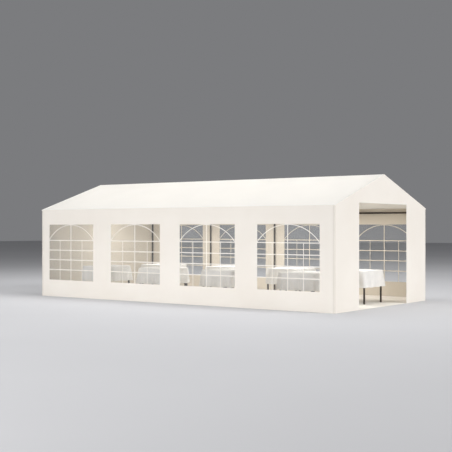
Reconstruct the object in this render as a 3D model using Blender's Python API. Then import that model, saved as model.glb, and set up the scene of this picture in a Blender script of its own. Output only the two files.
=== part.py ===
"""Marquee tent, 8 m long and 4 m wide, with an open doorway in its right-hand gable.

Metres, +Z up, +X along the length towards the doorway. The origin is the centre of the base,
on the ground. A steel tube frame carries a roof sheet, two long walls with four windows each,
a closed gable and a gable with the doorway. Eight tables with cloths stand in two rows inside.
"""

import math

import bmesh
import bpy
from mathutils import Vector

# Outer size of the tent
LENGTH = 8.0
WIDTH = 4.0
EAVE_HEIGHT = 2.038
RIDGE_HEIGHT = 2.705

# The coated fabric is 0.5 mm thick; its solids are thicker so that they can be handled
FABRIC = 0.003
WINDOW_FILM = 0.001
GAP = 0.0003

# Windows, four in each long wall, one to a bay. The front ones lie a little towards -X.
BAYS = 4
WINDOW_WIDTH = 1.437
WINDOW_SILL = 0.390
WINDOW_HEAD = 1.685
FRONT_WINDOW_SHIFT = -0.032

# Doorway in the +X gable
DOOR_FRONT_EDGE = -1.065
DOOR_BACK_EDGE = 1.030
DOOR_HEAD = 2.103

# Frame tubes
TUBE_SIDES = 16
POST_RADIUS = 0.021
RAIL_RADIUS = 0.019
RAIL_PAST_POST = 0.006
PLATE_PAST_POST = 0.014
EAVE_RAIL_HEIGHT = 1.9485
FOOT_PLATE = 0.080
FOOT_PLATE_THICK = 0.004

# Tables: side of the square top, its corner radius, and the places of their middles
TABLE_SIDE = 0.90
TABLE_HEIGHT = 0.700
TABLE_TOP_THICK = 0.025
TABLE_CORNER = 0.20
TABLE_LEG = 0.030
TABLE_LEG_INSET = 0.075
FRONT_ROW_Y = -0.95
FRONT_ROW_X = (-2.885, -1.097, 0.728, 2.713)
BACK_ROW_Y = 0.577
BACK_ROW_X = (-2.382, -0.356, 1.377, 3.058)

# Tablecloths: a top with a drop that flares towards the hem
CLOTH = 0.005
CLOTH_FLARE = 0.025
CLOTH_HEM_HEIGHT = 0.362
CORNER_STEPS = 5

# Worked out from the sizes above
SLOPE = math.atan2(RIDGE_HEIGHT - EAVE_HEIGHT, WIDTH / 2)
WALL_INSET = FABRIC + GAP + POST_RADIUS
POST_X = LENGTH / 2 - WALL_INSET
POST_Y = WIDTH / 2 - WALL_INSET
POST_SPACING = 2 * POST_X / BAYS
ROOF_DROP = FABRIC / math.cos(SLOPE)
WALL_TOP = EAVE_HEIGHT - ROOF_DROP - GAP
FLOOR_TOP = FABRIC


def clear_scene():
    """Remove the objects that the file opens with."""
    for obj in list(bpy.data.objects):
        bpy.data.objects.remove(obj, do_unlink=True)


def linear(hex_colour):
    """The linear RGBA value of an sRGB colour written as six hex digits."""
    values = [int(hex_colour[i : i + 2], 16) / 255 for i in (0, 2, 4)]
    channels = [v / 12.92 if v <= 0.04045 else ((v + 0.055) / 1.055) ** 2.4 for v in values]
    return (*channels, 1.0)


def make_material(name, hex_colour, roughness, metallic=0.0, transmission=0.0):
    """A Principled material with the plain colour and finish of one kind of piece."""
    material = bpy.data.materials.new(name)
    material.use_nodes = True
    shader = material.node_tree.nodes["Principled BSDF"]
    shader.inputs["Base Color"].default_value = linear(hex_colour)
    shader.inputs["Roughness"].default_value = roughness
    shader.inputs["Metallic"].default_value = metallic
    shader.inputs["Transmission Weight"].default_value = transmission
    material.diffuse_color = linear(hex_colour)
    return material


def add_object(name, bm, material, location=(0, 0, 0), smooth=False):
    """Turn a bmesh into a named object, with its faces pointing out."""
    bmesh.ops.recalc_face_normals(bm, faces=bm.faces)
    mesh = bpy.data.meshes.new(name)
    bm.to_mesh(mesh)
    bm.free()
    if smooth:
        mesh.shade_smooth()
        mesh.set_sharp_from_angle(angle=math.radians(35))
    mesh.materials.append(material)
    obj = bpy.data.objects.new(name, mesh)
    obj.location = location
    bpy.context.scene.collection.objects.link(obj)
    return obj


def add_prism(bm, outline, direction):
    """Extrude a closed outline of 3D points along a direction."""
    face = bm.faces.new([bm.verts.new(point) for point in outline])
    grown = bmesh.ops.extrude_face_region(bm, geom=[face])["geom"]
    moved = [item for item in grown if isinstance(item, bmesh.types.BMVert)]
    bmesh.ops.translate(bm, verts=moved, vec=direction)


def add_box(bm, low, high):
    """Add a box between two opposite corners."""
    outline = [
        (low[0], low[1], low[2]),
        (high[0], low[1], low[2]),
        (high[0], high[1], low[2]),
        (low[0], high[1], low[2]),
    ]
    add_prism(bm, outline, (0, 0, high[2] - low[2]))


def tube_ring(centre, along, sideways, normal, radius):
    """A ring of points on the plane with this normal, cut through a tube that runs along."""
    across = along.cross(sideways).normalized()
    ring = []
    for k in range(TUBE_SIDES):
        angle = 2 * math.pi * k / TUBE_SIDES
        spoke = radius * (math.cos(angle) * sideways + math.sin(angle) * across)
        slide = -spoke.dot(normal) / along.dot(normal)
        ring.append(centre + spoke + slide * along)
    return ring


def add_tube(bm, path, sideways, radius):
    """A closed round tube along straight runs, mitred where they meet."""
    points = [Vector(point) for point in path]
    runs = [(b - a).normalized() for a, b in zip(points, points[1:])]
    rings = []
    for i, point in enumerate(points):
        before = runs[max(i - 1, 0)]
        after = runs[min(i, len(runs) - 1)]
        normal = (before + after).normalized()
        ring = tube_ring(point, after, Vector(sideways), normal, radius)
        rings.append([bm.verts.new(place) for place in ring])
    for lower, upper in zip(rings, rings[1:]):
        for k in range(TUBE_SIDES):
            following = (k + 1) % TUBE_SIDES
            bm.faces.new((lower[k], lower[following], upper[following], upper[k]))
    bm.faces.new(rings[0])
    bm.faces.new(rings[-1])


def add_cutter(name, bm, target, operation):
    """Cut a shape out of the target, or join it on, with an exact Boolean."""
    cutter = add_object(name, bm, target.data.materials[0], target.location)
    cutter.hide_render = True
    cutter.display_type = "WIRE"
    modifier = target.modifiers.new(name, "BOOLEAN")
    modifier.operation = operation
    modifier.solver = "EXACT"
    modifier.object = cutter


def roof_underside(y):
    """Height of the underside of the roof sheet over a place across the tent."""
    return RIDGE_HEIGHT - abs(y) * math.tan(SLOPE) - ROOF_DROP


def window_middles(side):
    """Distances along the tent of the middles of the windows of the front (-1) or back (1) wall."""
    shift = FRONT_WINDOW_SHIFT if side < 0 else 0
    return [POST_SPACING * (i + 0.5 - BAYS / 2) + shift for i in range(BAYS)]


def make_floor_sheet(material):
    """The ground sheet, which fills the base inside the walls."""
    half_length = LENGTH / 2 - FABRIC - GAP
    half_width = WIDTH / 2 - FABRIC - GAP
    corner = POST_RADIUS
    bm = bmesh.new()
    outline = rounded_outline(half_length, half_width, corner, TUBE_SIDES // 4)
    add_prism(bm, [(x, y, 0) for x, y in outline], (0, 0, FLOOR_TOP))
    add_object("floor_sheet", bm, material)


def make_post(name, x, side, inward_x, material):
    """A post on a foot plate. The plate runs inwards, clear of the walls."""
    bm = bmesh.new()
    foot_bottom = FLOOR_TOP + GAP
    top = EAVE_RAIL_HEIGHT - RAIL_RADIUS - GAP
    add_tube(bm, [(0, 0, foot_bottom), (0, 0, top)], (1, 0, 0), POST_RADIUS)
    post = add_object(name, bm, material, (x, side * POST_Y, 0), smooth=True)
    middle_x = inward_x * (FOOT_PLATE / 2 - PLATE_PAST_POST)
    middle_y = -side * (FOOT_PLATE / 2 - PLATE_PAST_POST)
    plate = bmesh.new()
    add_box(
        plate,
        (middle_x - FOOT_PLATE / 2, middle_y - FOOT_PLATE / 2, foot_bottom),
        (middle_x + FOOT_PLATE / 2, middle_y + FOOT_PLATE / 2, foot_bottom + FOOT_PLATE_THICK),
    )
    add_cutter(name + "_plate", plate, post, "UNION")


def make_posts(material):
    """Five posts down each long side, one at each end of a bay."""
    for row, side in (("front", -1), ("back", 1)):
        for i in range(BAYS + 1):
            x = -POST_X + i * POST_SPACING
            inward_x = (i == 0) - (i == BAYS)
            make_post(f"{row}_post_{i + 1}", x, side, inward_x, material)


def make_rail(name, y, z, material):
    """A tube along the whole tent. Its lengths plug into each other, so it is one solid."""
    half = POST_X + RAIL_PAST_POST
    bm = bmesh.new()
    add_tube(bm, [(-half, 0, 0), (half, 0, 0)], (0, 1, 0), RAIL_RADIUS)
    add_object(name, bm, material, (0, y, z), smooth=True)


def bow_height(y):
    """Height of the middle line of a roof bow, which lies just under the roof sheet."""
    return roof_underside(y) - (GAP + RAIL_RADIUS) / math.cos(SLOPE)


def make_rails(material):
    """Eave rails on the posts, and a ridge rail that nests under the bows."""
    make_rail("front_eave_rail", -POST_Y, EAVE_RAIL_HEIGHT, material)
    make_rail("back_eave_rail", POST_Y, EAVE_RAIL_HEIGHT, material)
    ridge_z = bow_height(0) - (2 * RAIL_RADIUS + GAP) / math.cos(SLOPE)
    make_rail("ridge_rail", 0, ridge_z, material)


def make_bows(material):
    """Five roof bows: a foot on each eave rail, two rafters and a ridge joint in one piece."""
    foot = EAVE_RAIL_HEIGHT + RAIL_RADIUS + GAP
    knee = bow_height(POST_Y)
    path = [
        (0, -POST_Y, foot),
        (0, -POST_Y, knee),
        (0, 0, bow_height(0)),
        (0, POST_Y, knee),
        (0, POST_Y, foot),
    ]
    for i in range(BAYS + 1):
        bm = bmesh.new()
        add_tube(bm, path, (1, 0, 0), RAIL_RADIUS)
        x = -POST_X + i * POST_SPACING
        add_object(f"roof_bow_{i + 1}", bm, material, (x, 0, 0), smooth=True)


def make_roof_sheet(material):
    """The roof: one sheet over the ridge, down to both eaves."""
    half = WIDTH / 2
    outline = [
        (-half, EAVE_HEIGHT),
        (0, RIDGE_HEIGHT),
        (half, EAVE_HEIGHT),
        (half, EAVE_HEIGHT - ROOF_DROP),
        (0, RIDGE_HEIGHT - ROOF_DROP),
        (-half, EAVE_HEIGHT - ROOF_DROP),
    ]
    bm = bmesh.new()
    add_prism(bm, [(-LENGTH / 2, y, z) for y, z in outline], (LENGTH, 0, 0))
    add_object("roof_sheet", bm, material)


def corner_arc(radius, sign_x, quarter):
    """Plan of the turn of a long wall round the corner post, from the side to the end."""
    points = []
    for k in range(quarter + 1):
        angle = math.radians(90) * k / quarter
        points.append((sign_x * (POST_X + radius * math.sin(angle)), POST_Y + radius * math.cos(angle)))
    return points


def make_long_wall(name, side, material):
    """A long wall that turns round both corner posts, with four window openings."""
    quarter = TUBE_SIDES // 4
    outer = POST_RADIUS + GAP + FABRIC
    inner = POST_RADIUS + GAP
    outline = list(reversed(corner_arc(outer, -1, quarter)))
    outline += corner_arc(outer, 1, quarter)
    outline += list(reversed(corner_arc(inner, 1, quarter)))
    outline += corner_arc(inner, -1, quarter)
    bm = bmesh.new()
    add_prism(bm, [(x, side * y, 0) for x, y in outline], (0, 0, WALL_TOP))
    wall = add_object(name, bm, material, smooth=True)
    holes = bmesh.new()
    for x in window_middles(side):
        low = (x - WINDOW_WIDTH / 2, side * WIDTH / 2 - 2 * POST_RADIUS, WINDOW_SILL)
        high = (x + WINDOW_WIDTH / 2, side * WIDTH / 2 + 2 * POST_RADIUS, WINDOW_HEAD)
        add_box(holes, low, high)
    add_cutter(name + "_windows", holes, wall, "DIFFERENCE")


def make_window_panes(material):
    """Clear film in each window opening, in the middle of the wall's thickness."""
    for row, side in (("front", -1), ("back", 1)):
        for i, x in enumerate(window_middles(side)):
            half_width = WINDOW_WIDTH / 2 - GAP
            half_height = (WINDOW_HEAD - WINDOW_SILL) / 2 - GAP
            bm = bmesh.new()
            low = (-half_width, -WINDOW_FILM / 2, -half_height)
            high = (half_width, WINDOW_FILM / 2, half_height)
            add_box(bm, low, high)
            y = side * (WIDTH / 2 - FABRIC / 2)
            z = (WINDOW_SILL + WINDOW_HEAD) / 2
            add_object(f"{row}_window_{i + 1}", bm, material, (x, y, z))


def gable_top(y):
    """Height of the top edge of a gable, just under the roof sheet."""
    return roof_underside(y) - GAP / math.cos(SLOPE)


def make_gable_piece(name, outline, side, material):
    """A flat piece of gable from an outline of places across and up."""
    outer = side * LENGTH / 2
    bm = bmesh.new()
    add_prism(bm, [(outer, y, z) for y, z in outline], (-side * FABRIC, 0, 0))
    add_object(name, bm, material)


def make_gables(material):
    """The closed gable, and the two sides and the head of the gable with the doorway."""
    edge = POST_Y - GAP
    closed = [(-edge, 0), (edge, 0)]
    closed += [(y, gable_top(y)) for y in (edge, 0, -edge)]
    make_gable_piece("closed_gable", closed, -1, material)
    for name, door_edge, side in (
        ("door_gable_front", DOOR_FRONT_EDGE, -1),
        ("door_gable_back", DOOR_BACK_EDGE, 1),
    ):
        far = side * edge
        outline = [(far, 0), (door_edge, 0), (door_edge, gable_top(door_edge)), (far, gable_top(far))]
        make_gable_piece(name, outline, 1, material)
    low = DOOR_FRONT_EDGE + GAP
    high = DOOR_BACK_EDGE - GAP
    head = [(low, DOOR_HEAD), (high, DOOR_HEAD)]
    head += [(y, gable_top(y)) for y in (high, 0, low)]
    make_gable_piece("door_gable_head", head, 1, material)


def rounded_outline(half_length, half_width, radius, steps):
    """Points round a rectangle with round corners, anticlockwise from its right side."""
    points = []
    for corner, (sign_x, sign_y) in enumerate(((1, 1), (-1, 1), (-1, -1), (1, -1))):
        for k in range(steps + 1):
            angle = math.radians(90) * (corner + k / steps)
            x = sign_x * (half_length - radius) + radius * math.cos(angle)
            y = sign_y * (half_width - radius) + radius * math.sin(angle)
            points.append((x, y))
    return points


def make_table(name, location, material):
    """A table: a top with round corners on four square legs."""
    under = TABLE_HEIGHT - TABLE_TOP_THICK
    bm = bmesh.new()
    half = TABLE_SIDE / 2
    outline = rounded_outline(half, half, TABLE_CORNER, CORNER_STEPS)
    add_prism(bm, [(x, y, under) for x, y in outline], (0, 0, TABLE_TOP_THICK))
    table = add_object(name, bm, material, location)
    legs = bmesh.new()
    reach = half - TABLE_LEG_INSET
    for sign_x in (-1, 1):
        for sign_y in (-1, 1):
            x = sign_x * reach
            y = sign_y * reach
            low = (x - TABLE_LEG / 2, y - TABLE_LEG / 2, FLOOR_TOP + GAP)
            high = (x + TABLE_LEG / 2, y + TABLE_LEG / 2, under + TABLE_TOP_THICK / 2)
            add_box(legs, low, high)
    add_cutter(name + "_legs", legs, table, "UNION")


def cloth_ring(bm, spread, z):
    """A ring of the cloth, this far outside the edge of the table top."""
    half = TABLE_SIDE / 2 + spread
    outline = rounded_outline(half, half, TABLE_CORNER + spread, CORNER_STEPS)
    return [bm.verts.new((x, y, z)) for x, y in outline]


def make_tablecloth(name, location, material):
    """A cloth over a table: a top, and a drop that stands out a little more at the hem."""
    top = TABLE_HEIGHT + GAP + CLOTH
    bm = bmesh.new()
    rings = [
        cloth_ring(bm, GAP, TABLE_HEIGHT + GAP),
        cloth_ring(bm, GAP + CLOTH_FLARE, CLOTH_HEM_HEIGHT),
        cloth_ring(bm, GAP + CLOTH_FLARE + CLOTH, CLOTH_HEM_HEIGHT),
        cloth_ring(bm, GAP + CLOTH, top - CLOTH),
        cloth_ring(bm, GAP, top),
    ]
    count = len(rings[0])
    for first, second in zip(rings, rings[1:]):
        for k in range(count):
            following = (k + 1) % count
            bm.faces.new((first[k], first[following], second[following], second[k]))
    bm.faces.new(rings[0])
    bm.faces.new(rings[-1])
    add_object(name, bm, material, location, smooth=True)


def make_tables(table_material, cloth_material):
    """Two rows of four tables, each with its cloth."""
    places = [(x, FRONT_ROW_Y) for x in FRONT_ROW_X] + [(x, BACK_ROW_Y) for x in BACK_ROW_X]
    for i, (x, y) in enumerate(places):
        make_table(f"table_{i + 1}", (x, y, 0), table_material)
        make_tablecloth(f"tablecloth_{i + 1}", (x, y, 0), cloth_material)


def build():
    """Model the whole tent."""
    clear_scene()
    roof_fabric = make_material("roof_fabric", "FBF7F0", 0.55)
    wall_fabric = make_material("wall_fabric", "F3EAE2", 0.6)
    floor_fabric = make_material("floor_fabric", "E9E4DD", 0.65)
    window_film = make_material("window_film", "F4F6F6", 0.08, transmission=0.9)
    tube_steel = make_material("tube_steel", "3F362D", 0.45, metallic=0.3)
    table_wood = make_material("table_wood", "33291F", 0.5)
    white_cotton = make_material("white_cotton", "F7F6F4", 0.85)
    make_floor_sheet(floor_fabric)
    make_posts(tube_steel)
    make_rails(tube_steel)
    make_bows(tube_steel)
    make_long_wall("front_wall", -1, wall_fabric)
    make_long_wall("back_wall", 1, wall_fabric)
    make_window_panes(window_film)
    make_gables(wall_fabric)
    make_roof_sheet(roof_fabric)
    make_tables(table_wood, white_cotton)


build()
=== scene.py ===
# %% [markdown]
# # Dressing a marquee tent
# The solids of this lesson are a party tent, 8 m long and 4 m wide: steel tubes, a fabric roof and
# walls, four clear windows to a side, an open doorway in one gable, and eight tables with cloths.
# They are true in size but plain. The lesson gives each piece the surface and the fine shape of the
# real one: thin sheets with hems and seams instead of slabs, window bars, tube joints, and cloths
# that hang in folds. The first cell loads the solids as a frame that nothing here may move.

# %% Load the frame
import math

import bmesh
import bpy
from mathutils import Matrix, Vector, noise


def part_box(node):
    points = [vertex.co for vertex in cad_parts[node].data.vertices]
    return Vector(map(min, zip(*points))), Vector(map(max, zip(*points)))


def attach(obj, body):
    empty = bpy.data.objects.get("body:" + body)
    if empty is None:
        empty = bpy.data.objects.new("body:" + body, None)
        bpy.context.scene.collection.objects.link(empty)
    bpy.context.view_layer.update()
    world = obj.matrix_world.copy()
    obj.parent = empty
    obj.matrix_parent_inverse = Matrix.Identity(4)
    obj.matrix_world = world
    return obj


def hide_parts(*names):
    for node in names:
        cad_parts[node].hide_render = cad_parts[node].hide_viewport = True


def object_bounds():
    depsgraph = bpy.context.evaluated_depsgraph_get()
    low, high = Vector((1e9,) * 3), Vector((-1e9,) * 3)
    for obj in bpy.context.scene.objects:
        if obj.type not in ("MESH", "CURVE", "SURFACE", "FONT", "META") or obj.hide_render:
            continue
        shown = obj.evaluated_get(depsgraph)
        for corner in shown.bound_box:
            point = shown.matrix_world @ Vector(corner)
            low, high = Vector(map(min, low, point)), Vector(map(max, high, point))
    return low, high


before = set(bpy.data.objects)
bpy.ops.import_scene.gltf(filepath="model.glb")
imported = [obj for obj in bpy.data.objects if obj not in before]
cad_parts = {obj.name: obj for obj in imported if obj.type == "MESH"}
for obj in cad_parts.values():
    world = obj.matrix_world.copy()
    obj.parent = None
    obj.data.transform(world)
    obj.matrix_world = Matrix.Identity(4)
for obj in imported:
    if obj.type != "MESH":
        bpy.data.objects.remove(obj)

cad_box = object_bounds()
HALF_LENGTH, HALF_WIDTH, RIDGE_TOP = cad_box[1]
print("solids:", len(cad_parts), "nodes")
print("half length", round(HALF_LENGTH, 3), "half width", round(HALF_WIDTH, 3))

# %% [markdown]
# Every later size comes from the solids, so a piece always lands where its solid is. A node's box
# gives the windows, the doorway, the posts and the tables. Only what a box can't tell, such as the
# thickness of real fabric, is a value of its own.

# %% Sizes read from the frame
EAVE = 2.038  # where the slope of the roof meets the walls
WALL_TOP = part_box("front_wall")[1].z
SLOPE = math.atan2(RIDGE_TOP - EAVE, HALF_WIDTH)
SLOPE_LENGTH = math.hypot(RIDGE_TOP - EAVE, HALF_WIDTH)
DOOR_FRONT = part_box("door_gable_front")[1].y
DOOR_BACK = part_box("door_gable_back")[0].y
DOOR_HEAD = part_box("door_gable_head")[0].z
RAIL_LOW, RAIL_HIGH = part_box("front_eave_rail")
RAIL_RADIUS = (RAIL_HIGH.z - RAIL_LOW.z) / 2
RAIL_HEIGHT = (RAIL_HIGH.z + RAIL_LOW.z) / 2
POST_Y = -(RAIL_HIGH.y + RAIL_LOW.y) / 2
POST_RADIUS = 0.021
BOWS = [f"roof_bow_{i}" for i in range(1, 6)]
BOW_PLACES = [sum(v.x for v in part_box(bow)) / 2 for bow in BOWS]
TABLE_NAMES = [f"table_{i}" for i in range(1, 9)]
TABLE_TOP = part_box("table_1")[1].z
TABLE_HALF = (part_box("table_1")[1].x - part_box("table_1")[0].x) / 2
TABLE_CORNER = 0.20
FABRIC = 0.001
WALLS = (("front", -1), ("back", 1))  # each row's name, and the side of the tent it is on
print("slope", round(math.degrees(SLOPE), 1), "degrees")
print("doorway from", round(DOOR_FRONT, 3), "to", round(DOOR_BACK, 3))

# %% [markdown]
# ## Small helpers
# Colours are written as the sRGB hex values that a paint card or a colour picker gives. Shaders
# count in linear light, so one function turns one into the other. Node trees are built with one
# function too: it adds a node, sets its fields and fills its inputs with values or links. A third
# one puts a mesh, a lamp or a camera into the scene.

# %% Colours and nodes
def linear(hex_colour):
    """Linear RGBA from six sRGB hex digits."""
    values = [int(hex_colour[i : i + 2], 16) / 255 for i in (0, 2, 4)]
    return (*[v / 12.92 if v <= 0.04045 else ((v + 0.055) / 1.055) ** 2.4 for v in values], 1.0)


def add(tree, kind, inputs=None, **fields):
    """Add a node, set its fields, and fill its inputs with values or with other nodes' outputs."""
    node = tree.nodes.new(kind)
    for field, value in fields.items():
        setattr(node, field, value)
    for name, source in (inputs or {}).items():
        if isinstance(source, bpy.types.NodeSocket):
            tree.links.new(source, node.inputs[name])
        else:
            node.inputs[name].default_value = source
    return node


def in_scene(name, data):
    """A new object in the scene, made of this mesh, lamp or camera."""
    obj = bpy.data.objects.new(name, data)
    bpy.context.scene.collection.objects.link(obj)
    return obj


def new_material(name):
    """An empty material with a Principled shader, as (material, tree, shader)."""
    material = bpy.data.materials.new(name)
    material.use_nodes = True
    return material, material.node_tree, material.node_tree.nodes["Principled BSDF"]


print("white card is", [round(v, 3) for v in linear("F6EFE6")])

# %% [markdown]
# ## Patterns that several finishes share
# Woven goods show two things: threads that cross over and under, and faint clouds of tone where the
# weave or the coating varies. The product of two sine waves rises and falls like a plain weave. The
# waves run along the cut of the cloth, which every sheet below keeps as a UV map in metres, so the
# threads follow the folds. Real threads are 0.3 to 1 mm apart, far too fine to show on a tent that
# fills the picture, so they are drawn several millimetres apart.

# %% Weave and clouds
def weave_height(tree, spacing):
    """Height of a plain weave, from the cut's UV map in metres, with threads this far apart."""
    cut = add(tree, "ShaderNodeUVMap", uv_map="cut")
    parts = add(tree, "ShaderNodeSeparateXYZ", {0: cut.outputs[0]})
    waves = []
    for axis in (0, 1):
        factors = {0: parts.outputs[axis], 1: math.pi / spacing}
        turns = add(tree, "ShaderNodeMath", factors, operation="MULTIPLY")
        wave = add(tree, "ShaderNodeMath", {0: turns.outputs[0]}, operation="SINE")
        waves.append(wave.outputs[0])
    return add(tree, "ShaderNodeMath", dict(enumerate(waves)), operation="MULTIPLY").outputs[0]


def clouds(tree, size, detail=3.0, seed=0.0):
    """Soft noise in the row's own metres, with clouds of about this size."""
    place = add(tree, "ShaderNodeTexCoord")
    shifted = add(tree, "ShaderNodeVectorMath", {0: place.outputs["Object"], 1: (seed, seed, seed)})
    settings = {"Vector": shifted.outputs[0], "Scale": 1.0 / size, "Detail": detail, "Roughness": 0.5}
    return add(tree, "ShaderNodeTexNoise", settings).outputs["Fac"]


def tone(tree, factor, low, high, start=0.3, end=0.7):
    """A colour that goes from low to high as the factor goes from start to end."""
    ramp = add(tree, "ShaderNodeValToRGB", {"Fac": factor})
    ramp.color_ramp.elements[0].position = start
    ramp.color_ramp.elements[0].color = linear(low)
    ramp.color_ramp.elements[1].position = end
    ramp.color_ramp.elements[1].color = linear(high)
    return ramp.outputs["Color"]


def scaled(tree, factor, low, high):
    """A number that goes from low to high with the factor."""
    inputs = {"Value": factor, "To Min": low, "To Max": high}
    return add(tree, "ShaderNodeMapRange", inputs).outputs["Result"]


def bump(tree, height, distance, strength=1.0, under=None):
    """A bump of this real height in metres, on top of another one if given."""
    inputs = {"Height": height, "Distance": distance, "Strength": strength}
    if under is not None:
        inputs["Normal"] = under
    return add(tree, "ShaderNodeBump", inputs).outputs["Normal"]


def lets_light_through(tree, shader, colour, share):
    """Mix in a share of light that passes through the sheet from its far side."""
    through = add(tree, "ShaderNodeBsdfTranslucent", {"Color": colour})
    mix = add(tree, "ShaderNodeMixShader", {"Fac": share, 1: shader.outputs[0], 2: through.outputs[0]})
    tree.links.new(mix.outputs[0], tree.nodes["Material Output"].inputs["Surface"])


print("patterns ready: weave, clouds, tone, bump, light through")

# %% [markdown]
# ## Coated polyester
# Roof and walls are polyester cloth with a PVC coating on both sides, about 500 g a square metre.
# The coating levels out the cloth, so what shows is a satin white with a faint grid of threads,
# broad clouds where the coating is thicker, and soft ripples where it was folded. Calendered PVC
# has an index of refraction near 1.53 and a roughness near 0.5. The roof is a cleaner white, and
# the walls and gables are cream. The cloth of the corner laps is darker: painted shade down the
# tent's corners. Daylight comes through the sheets, which is why the inside of such a tent glows
# warm. A translucent shader mixed into the surface does this. The inner faces are darker and
# warmer than the outer ones: painted shade for the inside of the tent.

# %% Coated polyester
COATING_IOR = 1.53
COATING_ROUGH = (0.46, 0.60)
THICK_PATCHES = 0.9  # size of the broad clouds, in metres, as all that follow
FINE_PATCHES = 0.06
RIPPLE_SIZE = 0.18
THREAD_HEIGHT = 0.0001
THREAD_SHOWN = 0.006  # real threads are 1 mm apart; drawn six times as coarse so that they show


def coated_polyester(name, deep, light, seed, through, ripple_height=0.0018):
    """Satin PVC coated cloth: cloudy tone, thread grid, slow ripples, and a share of light through."""
    material, tree, shader = new_material(name)
    broad = clouds(tree, THICK_PATCHES, seed=seed)
    fine = clouds(tree, FINE_PATCHES, detail=2.0, seed=seed + 5)
    colour = tone(tree, broad, deep, light)
    tree.links.new(colour, shader.inputs["Base Color"])
    tree.links.new(scaled(tree, fine, *COATING_ROUGH), shader.inputs["Roughness"])
    ripples = bump(tree, clouds(tree, RIPPLE_SIZE, detail=1.0, seed=seed + 9), ripple_height)
    threads = bump(tree, weave_height(tree, THREAD_SHOWN), THREAD_HEIGHT, 0.8, under=ripples)
    tree.links.new(threads, shader.inputs["Normal"])
    shader.inputs["IOR"].default_value = COATING_IOR
    shader.inputs["Sheen Weight"].default_value = 0.05
    lets_light_through(tree, shader, colour, through)
    return material


roof_cloth = coated_polyester("coated_polyester_white", "F5F4F1", "F8F7F4", 1.0, 0.45, 0.0008)
wall_cloth = coated_polyester("coated_polyester_cream", "F2EBE1", "F6F0E7", 3.0, 0.03, 0.0012)
# Darker cloth for the corner laps: painted shade down the tent's corners.
corner_painted_shade_cloth = coated_polyester("coated_polyester_corner_painted_shade", "E6DFD4", "ECE5DB", 5.0, 0.03)
# The inner faces are darker and warmer than the outer ones: painted shade inside the tent.
wall_inside_painted_shade = coated_polyester("coated_polyester_inside_painted_shade", "D9CFBF", "DFD6C7", 7.0, 0.03)
roof_inside_painted_shade = coated_polyester("coated_polyester_roof_inside_painted_shade", "EFEAE2", "F3EFE8", 8.0, 0.45)
for made in (roof_cloth, wall_cloth, corner_painted_shade_cloth, wall_inside_painted_shade, roof_inside_painted_shade):
    print("made", made.name)

# %% [markdown]
# ## Welded strips and clear film
# The windows are clear soft PVC film, 0.4 mm thick, welded behind the wall. Film has a slightly
# wavy, glossy face and a faint grey haze. It is drawn as a thin glossy sheet that is mostly
# see-through, with more gloss at a slant, which lets daylight pass straight in. The white bars and
# the arch on it are strips of the same coated cloth, 12 to 18 mm wide, and the tool that welds
# them leaves fine ribs across the weld. Their inner faces are a darker beige: painted shade, as on
# the inside of the walls.

# %% Clear film and weld strips
FILM_HAZE = 0.04  # share of the film that isn't see-through, seen straight on
FILM_AT_A_SLANT = 0.55  # and seen along its face
FILM_ROUGH = (0.15, 0.22)


def clear_film():
    """Soft PVC film: glossy, wavy, with a trace of haze."""
    material, tree, shader = new_material("clear_pvc_film")
    shader.inputs["Base Color"].default_value = linear("DFE3E6")
    shader.inputs["IOR"].default_value = COATING_IOR
    smears = clouds(tree, 0.12, seed=2.0)
    tree.links.new(scaled(tree, smears, *FILM_ROUGH), shader.inputs["Roughness"])
    slant = add(tree, "ShaderNodeLayerWeight", {"Blend": 0.25})
    cover = scaled(tree, slant.outputs["Fresnel"], FILM_HAZE, FILM_AT_A_SLANT)
    tree.links.new(cover, shader.inputs["Alpha"])
    waves = bump(tree, clouds(tree, 0.22, detail=1.0, seed=7.0), 0.0015)
    tree.links.new(waves, shader.inputs["Normal"])
    return material


RIB_SPACING = 0.004  # the ribs of a weld are 1.5 mm apart; drawn coarser so that they show


def welded_strip(name, deep, light):
    """White coated strip with the fine ribs of a hot weld along the cut's second direction."""
    material, tree, shader = new_material(name)
    tree.links.new(tone(tree, clouds(tree, 0.35, seed=4.0), deep, light), shader.inputs["Base Color"])
    shader.inputs["Roughness"].default_value = 0.42
    shader.inputs["IOR"].default_value = COATING_IOR
    ribs = bump(tree, weave_height(tree, RIB_SPACING), 0.00012)
    tree.links.new(ribs, shader.inputs["Normal"])
    return material


film = clear_film()
bar_strip = welded_strip("welded_strip_white", "EFEAE2", "F6F2EB")
# The strips' inner faces are a darker beige: painted shade inside the tent.
bar_back_painted_shade = welded_strip("welded_strip_back_painted_shade", "D8CEBB", "DFD5C3")
print("made", film.name, "and", bar_strip.name, "and", bar_back_painted_shade.name)

# %% [markdown]
# ## Sheets from a grid
# Each piece of cloth is a grid of points: two lists of distances over the flat cut, and a function
# that says where a point of the cut ends up. Cells can be left out for a window or a doorway. A
# Solidify modifier then gives real thickness, with clean closed edges, and can give the inner face
# a lining material of its own. The flat distances are kept as a UV map called cut, for the weave.
# The edges of the cut are marked sharp, or smooth shading would bend the light near every opening.

# %% Patches and sheets
def steps(marks, longest):
    """All the marks in order, with even steps between them that are no longer than this."""
    marks = sorted(marks)
    values = [marks[0]]
    for low, high in zip(marks, marks[1:]):
        count = max(1, math.ceil((high - low) / longest - 1e-6))
        values += [low + (high - low) * k / count for k in range(1, count + 1)]
    return values


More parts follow.
